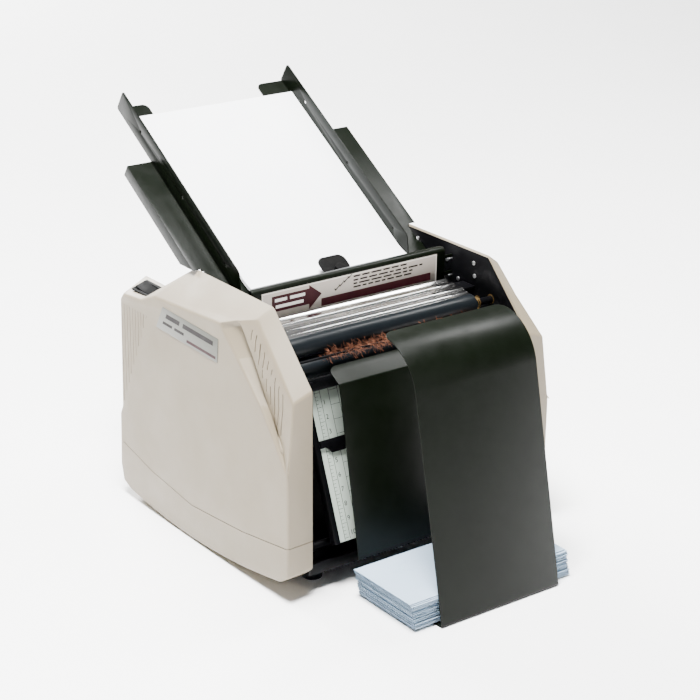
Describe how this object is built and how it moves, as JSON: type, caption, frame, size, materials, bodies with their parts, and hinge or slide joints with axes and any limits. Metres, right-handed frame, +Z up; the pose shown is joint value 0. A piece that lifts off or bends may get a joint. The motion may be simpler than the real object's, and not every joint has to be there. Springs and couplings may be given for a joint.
{
  "type": "paper folding machine",
  "caption": "Tabletop friction-fed letter folder: sloped feed table with side guides, fold rollers, two fold plates and a curved exit deflector.",
  "frame": {"origin": "middle of the footprint at desk level", "axes": "+X to the operator's right, +Y to the rear, from the delivery side to the feed table, +Z up"},
  "size_m": [0.3629, 0.5662, 0.4702],
  "materials": {
    "cover_plastic": "fine moulded grain",
    "black_steel": "semi-gloss black powder coat",
    "table_steel": "satin green-black powder coat",
    "bright_chrome": "polished",
    "plain_steel": "turned, lightly oiled",
    "roller_rubber": "ground, slight sheen",
    "feed_rubber": "matte",
    "bush_brass": "dull",
    "copper_tinsel": "bristly strands",
    "scale_aluminium": "anodised, printed",
    "plate_aluminium": "anodised, printed",
    "label_film": "printed film",
    "black_plastic": "moulded",
    "sheet_paper": "smooth copy paper",
    "folded_paper": "smooth copy paper"
  },
  "bodies": {
    "frame": {"base_pan": "black_steel", "left_side_plate": "black_steel", "right_side_plate": "black_steel", "left_side_cover": "cover_plastic", "right_side_cover": "cover_plastic", "rear_panel": "black_steel", "tie_rods": "black_steel", "front_bar": "black_steel", "feed_table": "table_steel", "chrome_cover": "bright_chrome", "infeed_guide": "table_steel", "roller_bushes": "bush_brass", "motor_body": "plain_steel", "motor_bracket": "black_steel", "drive_belt": "roller_rubber", "feed_belt": "roller_rubber", "tinsel_rod": "black_steel", "tinsel": "copper_tinsel", "front_fold_plate": "black_steel", "front_fold_scale": "scale_aluminium", "retarder_bridge": "black_steel", "power_inlet": "black_plastic", "switch_bezel": "black_plastic", "feet": "roller_rubber", "plate_screws": "plain_steel", "nameplate": "plate_aluminium"},
    "main_roller": {"main_roller_shaft": "black_steel", "main_roller_rubber": "roller_rubber", "main_roller_gear": "plain_steel", "main_pulley": "plain_steel", "feed_drive_pulley": "plain_steel"},
    "upper_roller": {"upper_roller_shaft": "black_steel", "upper_roller_rubber": "roller_rubber", "upper_roller_gear": "plain_steel"},
    "exit_roller": {"exit_roller_shaft": "black_steel", "exit_roller_rubber": "roller_rubber", "exit_roller_gear": "plain_steel"},
    "rear_roller": {"rear_roller_shaft": "black_steel", "rear_roller_rubber": "roller_rubber", "rear_roller_gear": "plain_steel"},
    "feed_roller": {"feed_shaft": "black_steel", "feed_tyre": "feed_rubber", "feed_pulley": "plain_steel"},
    "motor_rotor": {"motor_shaft": "black_steel", "motor_pulley": "plain_steel"},
    "retarder": {"retarder_pad": "black_plastic"},
    "retarder_knob": {"retarder_knob": "black_plastic"},
    "guard": {"guard_panel": "table_steel", "guard_label": "label_film"},
    "left_guide": {"left_guide": "table_steel"},
    "right_guide": {"right_guide": "table_steel"},
    "front_stop": {"front_stop": "black_steel"},
    "front_stop_knob": {"front_stop_knob": "black_plastic"},
    "rear_fold_plate": {"rear_fold_plate": "black_steel"},
    "rear_stop": {"rear_stop": "black_steel"},
    "exit_plate": {"exit_plate": "table_steel"},
    "deflector": {"deflector": "table_steel"},
    "loaded_sheets": {"loaded_sheets": "sheet_paper"},
    "folded_sheets": {"folded_sheets": "folded_paper"},
    "power_switch": {"power_switch": "black_plastic"}
  },
  "joints": [
    {"name": "main_roller_spin", "type": "hinge", "parent": "frame", "child": "main_roller", "pos_m": [0, -0.06023, 0.25309], "axis": [1, 0, 0], "continuous": true},
    {"name": "upper_roller_spin", "type": "hinge", "parent": "frame", "child": "upper_roller", "pos_m": [0, -0.08306, 0.2614], "axis": [1, 0, 0], "continuous": true},
    {"name": "exit_roller_spin", "type": "hinge", "parent": "frame", "child": "exit_roller", "pos_m": [0, -0.08935, 0.23793], "axis": [1, 0, 0], "continuous": true},
    {"name": "rear_roller_spin", "type": "hinge", "parent": "frame", "child": "rear_roller", "pos_m": [0, -0.05811, 0.22888], "axis": [1, 0, 0], "continuous": true},
    {"name": "feed_roller_spin", "type": "hinge", "parent": "frame", "child": "feed_roller", "pos_m": [0, 0.04231, 0.27243], "axis": [1, 0, 0], "continuous": true},
    {"name": "motor_spin", "type": "hinge", "parent": "frame", "child": "motor_rotor", "pos_m": [0, 0.08794, 0.105], "axis": [1, 0, 0], "continuous": true},
    {"name": "retarder_travel", "type": "slide", "parent": "frame", "child": "retarder", "axis": [0, 0.5373, -0.8434], "range_m": [0, 0.003]},
    {"name": "retarder_knob_turn", "type": "hinge", "parent": "retarder", "child": "retarder_knob", "pos_m": [-0.001, 0.00992, 0.29721], "axis": [0, -0.5373, 0.8434], "range_deg": [0, 1080]},
    {"name": "guard_lift", "type": "slide", "parent": "frame", "child": "guard", "axis": [0, 0, 1], "range_m": [0, 0.06]},
    {"name": "left_guide_travel", "type": "slide", "parent": "frame", "child": "left_guide", "axis": [-1, 0, 0], "range_m": [-0.012, 0.012]},
    {"name": "right_guide_travel", "type": "slide", "parent": "frame", "child": "right_guide", "axis": [1, 0, 0], "range_m": [0, 0.012]},
    {"name": "front_stop_travel", "type": "slide", "parent": "frame", "child": "front_stop", "axis": [0, 0.3584, 0.9336], "range_m": [-0.095, 0.05]},
    {"name": "front_stop_knob_turn", "type": "hinge", "parent": "front_stop", "child": "front_stop_knob", "pos_m": [0, -0.10523, 0.15405], "axis": [0, -0.9336, 0.3584], "range_deg": [0, 180]},
    {"name": "rear_fold_plate_pull", "type": "slide", "parent": "frame", "child": "rear_fold_plate", "axis": [0, 0.9903, -0.1392], "range_m": [0, 0.2]},
    {"name": "rear_stop_travel", "type": "slide", "parent": "rear_fold_plate", "child": "rear_stop", "axis": [0, 0.9903, -0.1392], "range_m": [-0.08, 0.11]},
    {"name": "exit_plate_pull", "type": "slide", "parent": "frame", "child": "exit_plate", "axis": [0, -1, 0], "range_m": [0, 0.07]},
    {"name": "deflector_pull", "type": "slide", "parent": "frame", "child": "deflector", "axis": [0, -1, 0], "range_m": [0, 0.15]},
    {"name": "loaded_sheets_lift", "type": "slide", "parent": "frame", "child": "loaded_sheets", "axis": [0, 0.8434, 0.5373], "range_m": [0, 0.3]},
    {"name": "folded_sheets_take", "type": "slide", "parent": "deflector", "child": "folded_sheets", "axis": [-1, 0, 0], "range_m": [0, 0.25]},
    {"name": "power_switch_rock", "type": "hinge", "parent": "frame", "child": "power_switch", "pos_m": [-0.1625, 0.15794, 0.2663], "axis": [0.9563, 0, 0.2924], "range_deg": [-16, 0]}
  ],
  "couplings": [
    {"joint": "upper_roller_spin", "follows": "main_roller_spin", "ratio": -1},
    {"joint": "exit_roller_spin", "follows": "main_roller_spin", "ratio": 1},
    {"joint": "rear_roller_spin", "follows": "main_roller_spin", "ratio": -1},
    {"joint": "feed_roller_spin", "follows": "main_roller_spin", "ratio": 1},
    {"joint": "motor_spin", "follows": "main_roller_spin", "ratio": 2},
    {"joint": "retarder_knob_turn", "follows": "retarder_travel", "rad_per_m": 6283.2}
  ]
}
